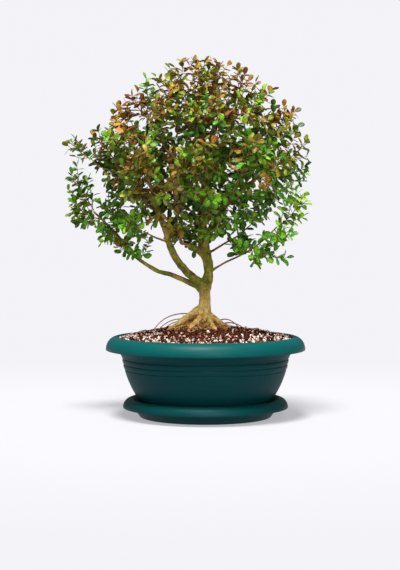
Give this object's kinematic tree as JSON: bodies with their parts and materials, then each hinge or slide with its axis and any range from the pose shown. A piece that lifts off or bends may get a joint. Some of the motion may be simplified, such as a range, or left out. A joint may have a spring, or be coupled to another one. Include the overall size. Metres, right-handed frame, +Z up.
{
  "type": "potted bonsai tree",
  "caption": "Small-leaved bonsai with a forked trunk and rounded crown, growing in bark and perlite mix in a round bowl pot with a rolled rim, on its saucer.",
  "frame": {"origin": "middle of the saucer's flat underside", "axes": "+Z up along the pot's axis; +X towards the side of the right limb, so that -Y is the front that the tree is seen from"},
  "size_m": [0.3637, 0.3, 0.5374],
  "materials": {
    "pot_plastic": "satin",
    "saucer_plastic": "satin",
    "soil": "matte",
    "bark": "matte",
    "leaf": "satin"
  },
  "bodies": {
    "root": {"saucer": "saucer_plastic", "pot": "pot_plastic", "soil": "soil", "trunk_and_branches": "bark", "back_left_limb_shoot_1": "leaf", "back_limb_shoot_1": "leaf", "back_limb_shoot_2": "leaf", "back_right_limb_shoot_1": "leaf", "back_right_limb_shoot_2": "leaf", "back_upper_limb_shoot_1": "leaf", "back_upper_limb_shoot_2": "leaf", "crown_limb_shoot_1": "leaf", "crown_limb_shoot_2": "leaf", "far_left_limb_shoot_1": "leaf", "far_left_limb_shoot_2": "leaf", "far_right_limb_shoot_1": "leaf", "far_right_limb_shoot_2": "leaf", "front_left_limb_shoot_1": "leaf", "front_left_limb_shoot_2": "leaf", "front_limb_shoot_1": "leaf", "front_limb_shoot_2": "leaf", "front_limb_shoot_3": "leaf", "front_right_limb_shoot_1": "leaf", "front_right_limb_shoot_2": "leaf", "front_upper_limb_shoot_1": "leaf", "front_upper_limb_shoot_2": "leaf", "front_upper_limb_shoot_3": "leaf", "inner_left_twig_shoot_1": "leaf", "left_limb_shoot_1": "leaf", "left_limb_shoot_2": "leaf", "left_limb_shoot_3": "leaf", "left_limb_shoot_4": "leaf", "left_twig_shoot_1": "leaf", "lone_twig_shoot_1": "leaf", "low_left_limb_shoot_1": "leaf", "low_left_limb_shoot_2": "leaf", "low_left_limb_shoot_3": "leaf", "low_left_limb_shoot_4": "leaf", "low_left_limb_shoot_5": "leaf", "low_left_limb_shoot_6": "leaf", "low_right_twig_shoot_1": "leaf", "low_right_twig_shoot_2": "leaf", "low_right_twig_shoot_3": "leaf", "mid_right_twig_shoot_1": "leaf", "mid_right_twig_shoot_2": "leaf", "right_limb_shoot_1": "leaf", "right_limb_shoot_2": "leaf", "right_limb_shoot_3": "leaf", "right_limb_shoot_4": "leaf", "trunk_shoot_1": "leaf", "trunk_shoot_2": "leaf", "trunk_shoot_3": "leaf", "trunk_shoot_4": "leaf", "trunk_shoot_5": "leaf", "trunk_shoot_6": "leaf", "upper_left_limb_shoot_1": "leaf", "upper_left_limb_shoot_2": "leaf", "upper_left_limb_shoot_3": "leaf", "upper_right_limb_shoot_1": "leaf", "upper_right_limb_shoot_2": "leaf"}
  },
  "joints": []
}
